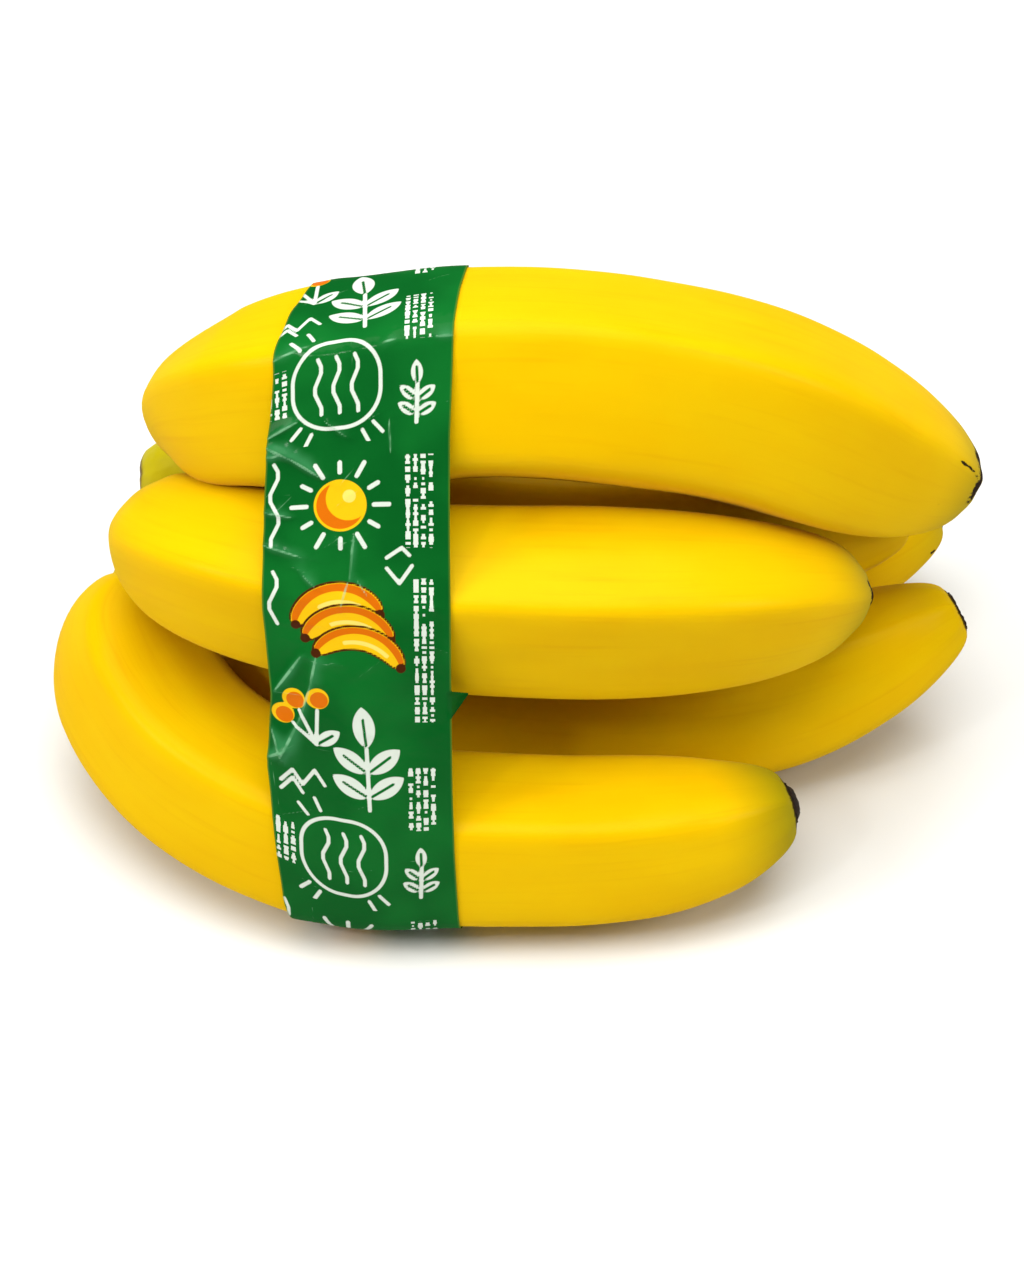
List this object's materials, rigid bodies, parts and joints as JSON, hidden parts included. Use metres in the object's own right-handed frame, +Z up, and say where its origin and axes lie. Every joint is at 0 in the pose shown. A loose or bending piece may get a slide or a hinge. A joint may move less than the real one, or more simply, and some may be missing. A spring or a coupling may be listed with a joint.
{
  "type": "bunch of bananas",
  "caption": "Ripe bananas grown from one crown, lying on their side and wrapped round the middle by a strip of printed green film.",
  "frame": {"origin": "on the resting surface, under the middle of the bunch's bounding box", "axes": "+X along the bananas from the crown to the tips, +Z up, -Y the side that faces the viewer"},
  "size_m": [0.1979, 0.1284, 0.1268],
  "materials": {
    "banana_skin": "waxy yellow peel with a soft satin sheen, faint lengthwise streaks and green-yellow ends",
    "dry_flower": "dry dark brown, corky",
    "crown": "green-yellow stalk with a dry brown cut face",
    "film": "thin glossy green film with a plain printed pattern and fine wrinkles"
  },
  "bodies": {
    "root": {"banana_top": "banana_skin", "banana_middle": "banana_skin", "banana_front": "banana_skin", "banana_inner": "banana_skin", "banana_rear_upper": "banana_skin", "banana_rear_lower": "banana_skin", "flower_end_top": "dry_flower", "flower_end_middle": "dry_flower", "flower_end_front": "dry_flower", "flower_end_inner": "dry_flower", "flower_end_rear_upper": "dry_flower", "flower_end_rear_lower": "dry_flower", "crown": "crown", "film_band": "film"}
  },
  "joints": []
}
